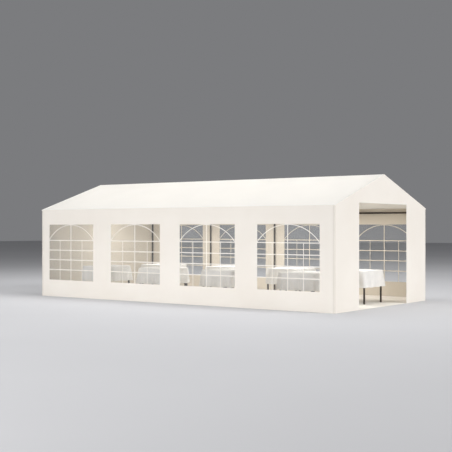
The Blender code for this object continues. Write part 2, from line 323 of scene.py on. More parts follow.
def patch(us, vs, place, skip=None):
    """Points, faces and cut positions of a grid bent by place(u, v), without the skipped cells."""
    across = len(us)
    faces = []
    for j in range(len(vs) - 1):
        for i in range(across - 1):
            if skip and skip((us[i] + us[i + 1]) / 2, (vs[j] + vs[j + 1]) / 2):
                continue
            k = j * across + i
            faces.append((k, k + 1, k + across + 1, k + across))
    used = sorted({k for face in faces for k in face})
    new_number = {k: n for n, k in enumerate(used)}
    flat = [(us[k % across], vs[k // across]) for k in used]
    points = [place(u, v) for u, v in flat]
    return points, [tuple(new_number[k] for k in face) for face in faces], flat


def edge_of_cut(mesh):
    """The edges where a sheet ends. Marked sharp, they keep its face flat up to the cut."""
    uses = [0] * len(mesh.edges)
    for loop in mesh.loops:
        uses[loop.edge_index] += 1
    return [edge for edge in mesh.edges if uses[edge.index] == 1]


def sheet(
    name, patches, material, thick=FABRIC, flip=False, replaced=(), lining=None
):
    """One object from several patches, given thickness inwards, riding on the tent."""
    points, faces, flat = [], [], []
    for more_points, more_faces, more_flat in patches:
        start = len(points)
        points += more_points
        faces += [tuple(k + start for k in (reversed(face) if flip else face)) for face in more_faces]
        flat += more_flat
    mesh = bpy.data.meshes.new(name)
    mesh.from_pydata(points, [], faces)
    cut = mesh.uv_layers.new(name="cut")
    for loop in mesh.loops:
        cut.data[loop.index].uv = flat[loop.vertex_index]
    mesh.materials.append(material)
    mesh.shade_smooth()
    mesh.set_sharp_from_angle(angle=math.radians(40))
    for edge in edge_of_cut(mesh):
        edge.use_edge_sharp = True
    obj = in_scene(name, mesh)
    thickness = obj.modifiers.new("thickness", "SOLIDIFY")
    thickness.thickness = thick
    thickness.offset = -1
    if lining is not None:
        mesh.materials.append(lining)
        thickness.material_offset = 1
    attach(obj, "root")
    if replaced:
        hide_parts(*replaced)
    return obj


print("steps 0 to 1:", steps([0, 0.3, 1], 0.25))

# %% [markdown]
# ## How far the walls are out of true
# A wall of a real tent is never quite flat: it is stretched between the eave rail and the ground
# and ripples by a few millimetres. One function gives this bulge for a place along and up the wall.
# It fades out at the eave, where the cloth is fastened. Film, bars and hems use the same function,
# so they stay on the cloth.

# %% Ripples
RIPPLE = 0.0022  # how far a wall stands out of true, in metres
MESH_STEP = 0.07


def ripple(along, up, top, seed):
    """How far a wall stands proud at a place along and up it, always outwards."""
    held = math.sin(math.pi * min(max(up / top, 0.0), 1.0) ** 0.8) ** 0.7 if 0 < up < top else 0.0
    slow = math.sin(1.9 * along + seed) * math.cos(1.3 * up + 0.7 * seed)
    quick = noise.noise(Vector((along * 1.6, up * 0.9, seed)))
    return RIPPLE * held * max(0.5 + 0.3 * slow + 0.4 * quick, 0.0)


print("ripple at the middle of a bay:", round(1000 * ripple(1.0, 1.0, WALL_TOP, 1.0), 2), "mm")

# %% [markdown]
# ## The long walls
# A long wall runs the whole length and turns round both corner posts. Its plan is a straight run
# with a quarter circle at each end. Rather than bending a finished mesh, the grid's first distance
# is measured along this plan, so the turn keeps the cloth's length.

# %% Where a point of a long wall is
CORNER_RADIUS = 0.028
STRAIGHT = 2 * (HALF_LENGTH - CORNER_RADIUS)
WALL_CUT = STRAIGHT + math.pi * CORNER_RADIUS


def wall_point(side, along, up, proud=0.0):
    """A point on a long wall: side is -1 for front and 1 for back, proud is how far out it is."""
    past = max(abs(along) - STRAIGHT / 2, 0.0)
    angle = past / CORNER_RADIUS
    out = CORNER_RADIUS + proud + ripple(along, up, WALL_TOP, 2.0 + side) * math.cos(angle) ** 4
    sign = math.copysign(1.0, along)
    x = along if past == 0 else sign * (HALF_LENGTH - CORNER_RADIUS + out * math.sin(angle))
    y = HALF_WIDTH - CORNER_RADIUS + out * math.cos(angle)
    return (x, side * y, up)


def turn_marks():
    """Distances along a wall that make its two corner turns round."""
    turn = math.pi / 2 * CORNER_RADIUS
    ends = [STRAIGHT / 2 + turn * k / 6 for k in range(7)]
    return ends + [-end for end in ends]


print("a long wall's cut is", round(WALL_CUT, 3), "m long and", round(WALL_TOP, 3), "m high")

# %% The long walls, with their window openings
def window_boxes(row):
    """The four window openings of a wall as (left, right, sill, head)."""
    boxes = [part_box(f"{row}_window_{i}") for i in range(1, 5)]
    return [(low.x, high.x, low.z, high.z) for low, high in boxes]


def in_a_window(windows, along, up):
    """Whether a place on a wall is inside one of its windows."""
    return any(left < along < right and sill < up < head for left, right, sill, head in windows)


def long_wall(row, side):
    """One long wall with its four openings, as a stretched sheet."""
    windows = window_boxes(row)
    sill, head = windows[0][2:]
    us = steps(turn_marks() + [x for window in windows for x in window[:2]], MESH_STEP)
    vs = steps([0.0, sill, head, WALL_TOP], MESH_STEP)
    grid = patch(us, vs, lambda u, v: wall_point(side, u, v), lambda u, v: in_a_window(windows, u, v))
    wall = sheet(
        f"{row}_wall_cloth",
        [grid],
        wall_cloth,
        flip=side > 0,
        replaced=[f"{row}_wall"],
        lining=wall_inside_painted_shade,
    )
    return wall


for row, side in WALLS:
    wall = long_wall(row, side)
    print(wall.name, len(wall.data.polygons), "faces")

# %% [markdown]
# ## Hems of the long walls
# The foot of a wall is folded and welded into a 50 mm hem, its top into a 40 mm one, and at each
# corner the wall is doubled where it turns to the gable. The laps there are given a darker cloth:
# painted shade, the thin darker line down the tent's corner. Each hem is a strip, proud by a few
# tenths of a millimetre.

# %% Hems
FOOT_HEM = 0.05
TOP_HEM = 0.04
CORNER_LAP = 0.045
HEM_PROUD = 0.0003
LAP_PROUD = HEM_PROUD + 0.0004
HEM_THICK = 0.0006


def wall_strip(side, left, right, low, high, proud=HEM_PROUD, step=MESH_STEP):
    """A strip on a long wall between these places."""
    bends = [u for u in turn_marks() if left < u < right]
    us = steps([left, right] + bends, step)
    return patch(us, steps([low, high], step), lambda u, v: wall_point(side, u, v, proud))


def wall_hems(row, side):
    """Foot and top hems and the corner laps of a long wall."""
    end = WALL_CUT / 2
    lap_start = HALF_LENGTH - CORNER_LAP
    strips = [
        wall_strip(side, -lap_start, lap_start, 0.0, FOOT_HEM),
        wall_strip(side, -lap_start, lap_start, WALL_TOP - TOP_HEM, WALL_TOP),
    ]
    hems = sheet(f"{row}_wall_hems", strips, wall_cloth, thick=HEM_THICK, flip=side > 0)
    # The corner laps, in the darker cloth: painted shade down the corners.
    strips = [
        wall_strip(side, left, right, 0.0, WALL_TOP, LAP_PROUD)
        for left, right in ((-end, -lap_start), (lap_start, end))
    ]
    laps = sheet(f"{row}_corner_laps_painted_shade", strips, corner_painted_shade_cloth, thick=HEM_THICK, flip=side > 0)
    return hems, laps


for row, side in WALLS:
    hems, laps = wall_hems(row, side)
    print(hems.name, len(hems.data.polygons), "faces")
    print(laps.name, len(laps.data.polygons), "faces")

# %% [markdown]
# ## Windows
# Each window has three layers: the film behind the opening, a border round it that is welded to
# the inside of the wall, and white strips that make panes and an arch. The upright in the middle
# runs to the top. The other two uprights stop at the uppermost crossbar, and the arch springs from
# the sides just above it. The strips cross over each other as welded strips do, so each kind lies
# at its own height.

# %% Film and border
BORDER = 0.022
BORDER_DEPTH = 0.0004  # how far it starts behind the wall's outer face
BORDER_THICK = 0.0024  # it folds round the edge of the film, so it shows inside too
FILM_THICK = 0.0004
FILM_GAP = 0.0001
FILM_WAVES = 0.0005
FILM_STEP = 0.05


def film_point(side, x, z):
    """A point of the window film, just behind the outer face, with its own small waves."""
    waves = FILM_WAVES * noise.noise(Vector((3.1 * x, 2.3 * z, 5.0 * side)))
    return wall_point(side, x, z, -FABRIC - FILM_GAP - abs(waves))


def window_film(row, side, number, window):
    """The clear pane of one window."""
    left, right, sill, head = window
    lap = BORDER / 2
    us = steps([left - lap, right + lap], FILM_STEP)
    vs = steps([sill - lap, head + lap], FILM_STEP)
    name = f"{row}_window_film_{number}"
    grid = patch(us, vs, lambda u, v: film_point(side, u, v))
    replaced = [f"{row}_window_{number}"]
    pane = sheet(name, [grid], film, FILM_THICK, side > 0, replaced)
    return pane


def window_border(side, window):
    """The welded border round one window, a ring of strip behind the wall."""
    left, right, sill, head = window
    us = steps([left - BORDER, left, right, right + BORDER], MESH_STEP)
    vs = steps([sill - BORDER, sill, head, head + BORDER], MESH_STEP)
    return patch(
        us,
        vs,
        lambda u, v: wall_point(side, u, v, -BORDER_DEPTH),
        lambda u, v: in_a_window([window], u, v),
    )


for row, side in WALLS:
    windows = window_boxes(row)
    for number, window in enumerate(windows, 1):
        window_film(row, side, number, window)
    borders = [window_border(side, window) for window in windows]
    # The borders are in the darker inner cloth: painted shade inside the tent.
    rings = sheet(f"{row}_window_borders", borders, wall_inside_painted_shade, BORDER_THICK, side > 0)
    print(row, "wall: 4 films and", rings.name)

# %% Bars and arch
BAR = 0.018  # width of the crossbars and of the middle upright
SIDE_BAR = 0.012
ARCH_BAR = 0.8 * BAR
CROSSBARS = (0.632, 0.863, 1.087, 1.317)  # heights above the ground
SIDE_UPRIGHT = 0.36  # distance from the middle of the window
ARCH_RADIUS = 0.92
CROSSBAR_PROUD, UPRIGHT_PROUD, ARCH_PROUD = 0.0008, 0.0010, 0.0012
BAR_THICK = 0.0034  # a strip on each face of the film, counted as one


def arch_patch(side, middle, head, reach):
    """The arch strip: part of a circle that touches the head of the window."""
    centre = head - BAR / 2 - ARCH_RADIUS
    end = math.asin(reach / ARCH_RADIUS)
    us = steps([-end, end], 0.05)

    def place(angle, width):
        radius = ARCH_RADIUS + width
        x = middle + radius * math.sin(angle)
        return wall_point(side, x, centre + radius * math.cos(angle), ARCH_PROUD)

    points, faces, flat = patch(us, [-ARCH_BAR / 2, 0.0, ARCH_BAR / 2], place)
    return points, faces, [(angle * ARCH_RADIUS, width) for angle, width in flat]


def window_bars(row, side, number, window):
    """The pane bars and the arch of one window."""
    left, right, sill, head = window
    middle = (left + right) / 2
    top_bar = CROSSBARS[-1]
    lap = BORDER / 3
    strips = []
    for up in CROSSBARS:
        low, high = up - BAR / 2, up + BAR / 2
        strips.append(wall_strip(side, left - lap, right + lap, low, high, CROSSBAR_PROUD))
    for shift in (-SIDE_UPRIGHT, 0.0, SIDE_UPRIGHT):
        x = middle + shift
        upper = head + lap if shift == 0 else top_bar
        half = BAR / 2 if shift == 0 else SIDE_BAR / 2
        strips.append(wall_strip(side, x - half, x + half, sill - lap, upper, UPRIGHT_PROUD))
    strips.append(arch_patch(side, middle, head, (right - left) / 2))
    name = f"{row}_window_bars_{number}"
    return sheet(name, strips, bar_strip, BAR_THICK, side > 0, lining=bar_back_painted_shade)


for row, side in WALLS:
    for number, window in enumerate(window_boxes(row), 1):
        bars = window_bars(row, side, number, window)
    print(row, "wall: 4 sets of bars,", len(bars.data.polygons), "faces each")

# %% [markdown]
# ## The roof
# The roof is one sheet from eave to eave. Between two bows it sags a few millimetres, and over the
# ridge it turns in a small radius. All round it is turned down in a 22 mm lip that covers the top
# of the walls, and is edged with their cream cloth. The second distance of the cut runs from the
# front eave over the ridge to the back eave. Past the edges, the lip takes up the extra length.

# %% Where a point of the roof is
ROOF_SAG = 0.0025
ROOF_WAVE = 0.0006
ROOF_LIP = 0.022
LIP_OUT = 0.0012  # how far the lip stands off the walls
RIDGE_RADIUS = 0.02


def bay_share(x):
    """0 on a bow and 1 in the middle of the bay between two bows."""
    for low, high in zip(BOW_PLACES, BOW_PLACES[1:]):
        if low <= x <= high:
            return math.sin(math.pi * (x - low) / (high - low)) ** 2
    return 0.0


def roof_point(along, across, proud=0.0):
    """A point of the roof: along the tent, and across it from the front eave to the back eave."""
    x = min(max(along, -HALF_LENGTH), HALF_LENGTH)
    s = min(max(across, -SLOPE_LENGTH), SLOPE_LENGTH)
    lip = max(abs(along) - HALF_LENGTH, abs(across) - SLOPE_LENGTH, 0.0)
    share = abs(s) / SLOPE_LENGTH
    held = 1 - share ** 6
    sag = ROOF_SAG * bay_share(x) * (0.35 + math.sin(math.pi * share)) * held
    sag += ROOF_WAVE * (noise.noise(Vector((1.3 * x, 1.7 * s, 4.0))) - 0.3) * held
    turned = min(1.0, abs(s) / RIDGE_RADIUS)
    rounding = RIDGE_RADIUS * 0.18 * (1 - turned) ** 2
    y = math.copysign(abs(s) * math.cos(SLOPE) + proud * math.sin(SLOPE) * turned, s)
    z = RIDGE_TOP - abs(s) * math.sin(SLOPE) + proud * math.cos(SLOPE)
    z -= max(sag, 0.0) + rounding + lip
    if abs(along) > HALF_LENGTH:
        x += math.copysign(LIP_OUT, along)
    if abs(across) > SLOPE_LENGTH:
        y += math.copysign(LIP_OUT, across)
    return (x, y, z)


ridge_marks = [k * RIDGE_RADIUS / 3 for k in range(-3, 4)]
roof_across = steps([-SLOPE_LENGTH, SLOPE_LENGTH] + ridge_marks, MESH_STEP)
roof_across = [-SLOPE_LENGTH - ROOF_LIP] + roof_across + [SLOPE_LENGTH + ROOF_LIP]
roof_along = steps([-HALF_LENGTH, HALF_LENGTH] + BOW_PLACES, MESH_STEP)
roof_along = [-HALF_LENGTH - ROOF_LIP] + roof_along + [HALF_LENGTH + ROOF_LIP]
roof = sheet(
    "roof_cloth",
    [patch(roof_along, roof_across, roof_point)],
    roof_cloth,
    replaced=["roof_sheet"],
    lining=roof_inside_painted_shade,
)
roof.data.materials.append(wall_cloth)
LIP_MATERIAL = 2  # after the roof's outer cloth and its lining
NEARLY = 1e-4
for face in roof.data.polygons:
    if abs(face.center.x) > HALF_LENGTH - NEARLY or abs(face.center.y) > HALF_WIDTH - NEARLY:
        face.material_index = LIP_MATERIAL
print(roof.name, len(roof.data.polygons), "faces")

# %% [markdown]
# Where two lengths of roofing meet, over the three inner bows, they lap and are welded. A second
# strip runs down each gable edge and along each eave, where the cloth is folded over. They are so
# thin that they only show from near by.

# %% Roof seams and edge hems
ROOF_SEAM = 0.035
ROOF_HEM = 0.040
SEAM_PROUD = 0.0004
SEAM_THICK = 0.0005


def roof_strip(left, right, low, high, proud=SEAM_PROUD):
    """A strip on the roof between these places along and across."""
    marks = [s for s in ridge_marks if low < s < high]
    us = steps([left, right], MESH_STEP)
    return patch(us, steps([low, high] + marks, MESH_STEP), lambda u, v: roof_point(u, v, proud))


def roof_trim():
    """Welded seams over the inner bows, and hems along the edges."""
    edge, inner = SLOPE_LENGTH, HALF_LENGTH - ROOF_HEM
    half = ROOF_SEAM / 2
    strips = [roof_strip(x - half, x + half, -edge, edge) for x in BOW_PLACES[1:-1]]
    strips.append(roof_strip(-HALF_LENGTH, -inner, -edge, edge))
    strips.append(roof_strip(inner, HALF_LENGTH, -edge, edge))
    strips.append(roof_strip(-inner, inner, -edge, -edge + ROOF_HEM, HEM_PROUD))
    strips.append(roof_strip(-inner, inner, edge - ROOF_HEM, edge, HEM_PROUD))
    return sheet("roof_seams_and_hems", strips, roof_cloth, thick=SEAM_THICK)


trim = roof_trim()
print(trim.name, len(trim.data.polygons), "faces")

# %% [markdown]
# ## The gables
# A gable is a flat pentagon between the two long walls. Its rows can't all be level, because its
# top slopes. Each row is therefore a share of the way up. In the gable with the doorway, the rows
# up to the door head are level across the doorway and only bend down towards the eaves, so the
# opening comes out square and the gable stays one sheet.

# %% Where a point of a gable is
GABLE_HALF = HALF_WIDTH - CORNER_RADIUS
TOP_CLEARANCE = 0.0036
BELOW_EAVE = 0.05  # the row of the door head ends this far under the eave


def gable_top(y):
    """Height of a gable's top edge, just under the roof."""
    return RIDGE_TOP - abs(y) * math.tan(SLOPE) - TOP_CLEARANCE


def gable_point(side, y, z, proud=0.0):
    """A point of a gable: side is -1 for the closed one and 1 for the one with the doorway."""
    edge = max(0.0, 1 - (abs(y) / GABLE_HALF) ** 8)
    out = proud + ripple(y, z, gable_top(y), 6.0 + side) * edge
    return (side * (HALF_LENGTH + out), y, z)


def row_height(y, share, middle):
    """Height of a row: up to the middle row below a share of a half, and on to the top above it."""
    if share <= 0.5:
        return middle * share / 0.5
    return middle + (gable_top(y) - middle) * (share - 0.5) / 0.5


def door_row(y):
    """Height of the row that forms the head of the doorway, bent down beside it."""
    past = max(y - DOOR_BACK, DOOR_FRONT - y, 0.0)
    reach = GABLE_HALF - (DOOR_BACK if y > 0 else -DOOR_FRONT)
    return DOOR_HEAD - past / reach * (DOOR_HEAD - gable_top(GABLE_HALF) + BELOW_EAVE)


print("gable is", round(2 * GABLE_HALF, 3), "m wide,", round(gable_top(0), 3), "m high")

# %% The two gables
CLOSED_MIDDLE_ROW = 0.75  # share of the way up, where there is no doorway to follow
ROWS_BELOW = steps([0.0, 0.5], 0.017)
ROWS_ABOVE = steps([0.5, 1.0], 0.06)[1:]


def in_doorway(y, share):
    """Whether a cell of the open gable is in its doorway."""
    return DOOR_FRONT < y < DOOR_BACK and share < 0.5


def gable(name, side, middle_row, replaced, skip=None):
    """A gable as one stretched sheet."""
    us = steps([-GABLE_HALF, DOOR_FRONT, 0.0, DOOR_BACK, GABLE_HALF], MESH_STEP)
    rows = {}

    def place(y, share):
        z = row_height(y, share, middle_row(y))
        rows[(y, share)] = z
        return gable_point(side, y, z)

    points, faces, flat = patch(us, ROWS_BELOW + ROWS_ABOVE, place, skip)
    flat = [(y, rows[(y, share)]) for y, share in flat]
    grid = (points, faces, flat)
    cloth = sheet(name, [grid], wall_cloth, flip=side < 0, replaced=replaced, lining=wall_inside_painted_shade)
    return cloth


closed = gable(
    "closed_gable_cloth", -1, lambda y: CLOSED_MIDDLE_ROW * gable_top(y), ["closed_gable"]
)
door_parts = ["door_gable_front", "door_gable_back", "door_gable_head"]
open_gable = gable("door_gable_cloth", 1, door_row, door_parts, in_doorway)
for cloth in (closed, open_gable):
    print(cloth.name, len(cloth.data.polygons), "faces")

# %% [markdown]
# The doorway is bound all round with a folded tape, brighter than the wall, because its rounded
# edge catches the light. The gables get foot hems too. The tape is a U in section: it shows on both
# faces and closes the raw edge.

# %% Binding of the doorway and the foot hems of the gables
BINDING = 0.016
BINDING_THICK = 0.0035
TAPE_LAP = 0.001  # the fold of the tape lies this far into the doorway
TAPE_ROUND = 0.001


def gable_strip(side, low_y, high_y, low_z, high_z, proud):
    """A strip on a gable between these places across and up."""
    us = steps([low_y, high_y], MESH_STEP)
    vs = steps([low_z, high_z], MESH_STEP)
    return patch(us, vs, lambda y, z: gable_point(side, y, z, proud))


def door_binding():
    """Tape up both sides of the doorway and along its head."""
    proud = (BINDING_THICK - FABRIC) / 2
    front, back = DOOR_FRONT - BINDING, DOOR_BACK + BINDING
    head = DOOR_HEAD - TAPE_LAP
    strips = [
        gable_strip(1, front, DOOR_FRONT + TAPE_LAP, 0.0, head, proud),
        gable_strip(1, DOOR_BACK - TAPE_LAP, back, 0.0, head, proud),
        gable_strip(1, front, back, head, DOOR_HEAD + BINDING, proud),
    ]
    tape = sheet("doorway_binding", strips, bar_strip, thick=BINDING_THICK)
    round_edges = tape.modifiers.new("round edges", "BEVEL")
    round_edges.width = TAPE_ROUND
    round_edges.segments = 2
    return tape


def gable_hems():
    """Foot hems of both gables."""
    closed_hem = [gable_strip(-1, -GABLE_HALF, GABLE_HALF, 0.0, FOOT_HEM, HEM_PROUD)]
    sheet("closed_gable_hem", closed_hem, wall_cloth, thick=HEM_THICK, flip=True)
    door_hems = [
        gable_strip(1, -GABLE_HALF, DOOR_FRONT - BINDING, 0.0, FOOT_HEM, HEM_PROUD),
        gable_strip(1, DOOR_BACK + BINDING, GABLE_HALF, 0.0, FOOT_HEM, HEM_PROUD),
    ]
    return sheet("door_gable_hems", door_hems, wall_cloth, thick=HEM_THICK)


binding = door_binding()
hems = gable_hems()
print(binding.name, "and", hems.name, "made")

# %% [markdown]
# ## The ground sheet
# The floor is woven polyethylene: flat tapes, 2.5 mm wide, that cross in a plain weave under a
# clear coating. It is duller than the walls and shows its tapes as a fine check. It lies on the
# ground with a few low waves that flatten out towards its edge, and its corners are cut round.

# %% Woven polyethylene floor
TAPE_SHOWN = 0.010  # real tapes are 2.5 mm wide; drawn four times as coarse so that they show
GROUND_TOP = 0.0022
GROUND_WAVE = 0.0008
GROUND_THICK = 0.0008
GROUND_STEP = 0.1
CORNER_REACH = 0.03  # the sheet's corners are cut round, this far past the corner posts


def woven_polyethylene():
    """Dull pale floor sheet with crossing tapes and scuffed patches."""
    material, tree, shader = new_material("woven_polyethylene_pale")
    worn = clouds(tree, 0.5, detail=5.0, seed=12.0)
    tree.links.new(tone(tree, worn, "EDE8DE", "F4F0E8"), shader.inputs["Base Color"])
    tree.links.new(scaled(tree, worn, 0.5, 0.68), shader.inputs["Roughness"])
    creases = bump(tree, clouds(tree, 0.3, detail=2.0, seed=14.0), 0.003)
    tapes = bump(tree, weave_height(tree, TAPE_SHOWN), 0.0002, under=creases)
    tree.links.new(tapes, shader.inputs["Normal"])
    shader.inputs["IOR"].default_value = 1.51
    return material


def floor_point(x, y):
    """A point of the ground sheet: flat at its edges and feet, with low waves between."""
    edge = min(1.0, 4 * (HALF_LENGTH - abs(x)), 4 * (HALF_WIDTH - abs(y)))
    wave = 0.5 + 0.5 * noise.noise(Vector((2.1 * x, 1.7 * y, 9.0)))
    return (x, y, GROUND_TOP + GROUND_WAVE * wave * edge)


def past_a_corner(x, y):
    """Whether a place lies outside the round corners of the ground sheet."""
    past_x = max(abs(x) - BOW_PLACES[-1], 0.0)
    past_y = max(abs(y) - POST_Y, 0.0)
    return math.hypot(past_x, past_y) > CORNER_REACH


floor_cloth = woven_polyethylene()
floor_low, floor_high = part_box("floor_sheet")
floor_grid = patch(
    steps([floor_low.x, floor_high.x], GROUND_STEP),
    steps([floor_low.y, floor_high.y], GROUND_STEP),
    floor_point,
    past_a_corner,
)
ground_sheet = sheet(
    "ground_sheet",
    [floor_grid],
    floor_cloth,
    thick=GROUND_THICK,
    replaced=["floor_sheet"],
)
print(ground_sheet.name, len(ground_sheet.data.polygons), "faces")

# %% [markdown]
# A flap of wall cloth is welded to the foot of the back wall and lies inwards on the ground sheet,
# to keep out rain and draught. It slopes down over the foot plates, is cut out round the posts, and
# lies flat from there to its free edge, with waves of a millimetre.

# %% Ground flap along the back wall
FLAP_NEAR = 1.34  # its free edge, as a place across the tent
FLAP_BEND = 1.86
FLAP_FAR = 1.9955
FLAP_END = 3.93
FLAP_TOP = 0.0056
FLAP_WAVE = 0.0012
FLAP_RISE = 0.055
FLAP_THICK = 0.0008
POST_CUT = 0.035


def flap_point(x, y):
    """A point of the flap, a little above the ground sheet and rising to the wall."""
    free = max(FLAP_BEND - y, 0.0) / (FLAP_BEND - FLAP_NEAR)
    wave = 0.5 + 0.5 * noise.noise(Vector((3.3 * x, 2.0 * y, 17.0)))
    rise = max(y - FLAP_BEND, 0.0) / (FLAP_FAR - FLAP_BEND)
    return (x, y, FLAP_TOP + FLAP_WAVE * wave * free + FLAP_RISE * rise)


def at_a_post(x, y):
    """Whether a place on the flap is cut out round one of the three inner posts."""
    return y > POST_Y - POST_CUT and any(abs(x - place) < POST_CUT for place in BOW_PLACES[1:-1])


post_edges = [x + sign * POST_CUT for x in BOW_PLACES[1:-1] for sign in (-1, 1)]
flap_columns = steps([-FLAP_END, FLAP_END] + post_edges, GROUND_STEP)
flap_rows = steps([FLAP_NEAR, FLAP_BEND, POST_Y - POST_CUT, FLAP_FAR], MESH_STEP)
flap_grid = patch(flap_columns, flap_rows, flap_point, at_a_post)
flap = sheet("back_wall_ground_flap", [flap_grid], wall_cloth, thick=FLAP_THICK)

# %% [markdown]
# ## Powder coated steel
# The tubes are steel with a dark brown powder coat, baked on. It is satin, with the fine orange
# peel of melted powder, and it wears a little lighter where sleeves rub. Steel under a coat of
# paint is not metallic to the eye, so the metallic value is low.

# %% Powder coated steel on the frame
def coat(names, material):
    """Give these solids this material and no other."""
    for name in names:
        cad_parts[name].data.materials.clear()
        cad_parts[name].data.materials.append(material)


def powder_coated_steel(name, deep, light, rough):
    """Dark satin powder coat with orange peel and slight wear."""
    material, tree, shader = new_material(name)
    wear = clouds(tree, 0.05, detail=6.0, seed=20.0)
    tree.links.new(tone(tree, wear, deep, light, 0.45, 0.8), shader.inputs["Base Color"])
    tree.links.new(scaled(tree, wear, rough - 0.06, rough + 0.08), shader.inputs["Roughness"])
    shader.inputs["Metallic"].default_value = 0.15
    peel = bump(tree, clouds(tree, 0.004, detail=1.0, seed=21.0), 0.0002)
    tree.links.new(peel, shader.inputs["Normal"])
    return material


tube_coat = powder_coated_steel("powder_coated_steel_brown", "3A3128", "4A4036", 0.42)
joint_coat = powder_coated_steel("powder_coated_steel_joint", "2E2720", "443A30", 0.38)
steel_nodes = [
    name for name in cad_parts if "post" in name or "rail" in name or "bow" in name
]
coat(steel_nodes, tube_coat)
print(len(steel_nodes), "tubes coated")

# %% [markdown]
# ## Joints of the frame
# The tubes plug into pressed steel joints. Where a post meets the eave there is a sleeve on the
# post, one along the rail and one up the rafter, each clamped with a bolt. At the ridge, a sleeve
# holds the ridge rail and two hold the rafters. A sleeve is a short cylinder with chamfered ends,
# a couple of millimetres larger than its tube.

# %% Sleeves and bolts
SLEEVE_WALL = 0.0018
POST_SLEEVE = POST_RADIUS + SLEEVE_WALL
TUBE_SLEEVE = RAIL_RADIUS + SLEEVE_WALL
WASHER = 0.0015
SUNK = 0.0004  # a bolt is sunk this far into what it sits on, so that no gap shows


def add_sleeve(bm, start, end, radius, chamfer=0.0015, sides=28):
    """A closed cylinder between two points, chamfered at both ends."""
    start, end = Vector(start), Vector(end)
    along = (end - start).normalized()
    helper = Vector((1, 0, 0)) if abs(along.x) < 0.8 else Vector((0, 1, 0))
    side = along.cross(helper).normalized()
    across = along.cross(side)
    profile = (
        (start, radius - chamfer),
        (start + along * chamfer, radius),
        (end - along * chamfer, radius),
        (end, radius - chamfer),
    )
    angles = [2 * math.pi * k / sides for k in range(sides)]
    spokes = [math.cos(angle) * side + math.sin(angle) * across for angle in angles]
    rings = []
    for centre, reach in profile:
        rings.append([bm.verts.new(centre + reach * spoke) for spoke in spokes])
    for lower, upper in zip(rings, rings[1:]):
        for k in range(sides):
            n = (k + 1) % sides
            bm.faces.new((lower[k], lower[n], upper[n], upper[k]))
    bm.faces.new(reversed(rings[0]))
    bm.faces.new(rings[-1])


def add_bolt(bm, place, out, size=0.0065, height=0.005):
    """A hexagon bolt head on a washer, standing out from a surface."""
    place, out = Vector(place), Vector(out).normalized()
    add_sleeve(bm, place, place + out * WASHER, size * 1.5, 0.0004, 20)
    add_sleeve(bm, place + out * WASHER * 0.8, place + out * (WASHER + height), size, 0.0008, 6)


def finish_mesh(name, bm, material, smooth_angle=35):
    """Turn a bmesh into a piece of the tent."""
    bmesh.ops.recalc_face_normals(bm, faces=bm.faces)
    mesh = bpy.data.meshes.new(name)
    bm.to_mesh(mesh)
    bm.free()
    mesh.shade_smooth()
    mesh.set_sharp_from_angle(angle=math.radians(smooth_angle))
    mesh.materials.append(material)
    obj = in_scene(name, mesh)
    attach(obj, "root")
    return obj


print("a post's sleeve is", round(2000 * POST_SLEEVE, 1), "mm across")

# %% Eave joints
UNDER_ROOF = 0.0033  # from the face of the roof down to the tubes
JOINT_REACH = 0.075  # length of a sleeve to each side along a rail
RAFTER_START = RIDGE_TOP - (UNDER_ROOF + RAIL_RADIUS) / math.cos(SLOPE)
KNEE = RAFTER_START - POST_Y * math.tan(SLOPE)


def rafter_ways(side):
    """Two directions in a rafter on this side: up along it, and out of its underside."""
    rise = Vector((0, -side * math.cos(SLOPE), math.sin(SLOPE)))
    under = Vector((0, -side * math.sin(SLOPE), -math.cos(SLOPE)))
    return rise, under


def eave_joint(number, x, row, side):
    """Sleeves and bolts where a post, the eave rail and a roof bow meet."""
    bm = bmesh.new()
    y = side * POST_Y
    inward = Vector((0, -side, 0))
    middle = Vector((x, y, RAIL_HEIGHT))
    knee = Vector((x, y, KNEE))
    rise, under = rafter_ways(side)
    add_sleeve(bm, middle - Vector((0, 0, 0.11)), middle, POST_SLEEVE)
    left = max(x - JOINT_REACH, BOW_PLACES[0] - 0.004)
    right = min(x + JOINT_REACH, BOW_PLACES[-1] + 0.004)
    add_sleeve(bm, (left, y, RAIL_HEIGHT), (right, y, RAIL_HEIGHT), TUBE_SLEEVE)
    add_sleeve(bm, middle, knee - Vector((0, 0, 0.006)), TUBE_SLEEVE)
    add_sleeve(bm, knee + rise * 0.004, knee + rise * 0.10, TUBE_SLEEVE)
    add_bolt(bm, middle - Vector((0, 0, 0.075)) + inward * (POST_SLEEVE - SUNK), inward)
    add_bolt(bm, knee + rise * 0.075 + under * (TUBE_SLEEVE - SUNK), under)
    return finish_mesh(f"{row}_eave_joint_{number}", bm, joint_coat)


for row, side in WALLS:
    for number, x in enumerate(BOW_PLACES, 1):
        joint = eave_joint(number, x, row, side)
    print(row, "side: 5 eave joints,", len(joint.data.polygons), "faces each")

# %% Ridge joints and foot bolts
FOOT_PLATE_TOP = 0.0073


def ridge_joint(number, x):
    """Sleeves where two rafters and the ridge rail meet."""
    bm = bmesh.new()
    low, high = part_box("ridge_rail")
    rail_height = (low.z + high.z) / 2
    left = max(x - JOINT_REACH, low.x + 0.001)
    right = min(x + JOINT_REACH, high.x - 0.001)
    add_sleeve(bm, (left, 0, rail_height), (right, 0, rail_height), TUBE_SLEEVE)
    apex = Vector((x, 0, RAFTER_START))
    for side in (-1, 1):
        rise, under = rafter_ways(side)
        add_sleeve(bm, apex - rise * 0.012, apex - rise * 0.11, TUBE_SLEEVE)
        add_bolt(bm, apex - rise * 0.085 + under * (TUBE_SLEEVE - SUNK), under)
    return finish_mesh(f"ridge_joint_{number}", bm, joint_coat)


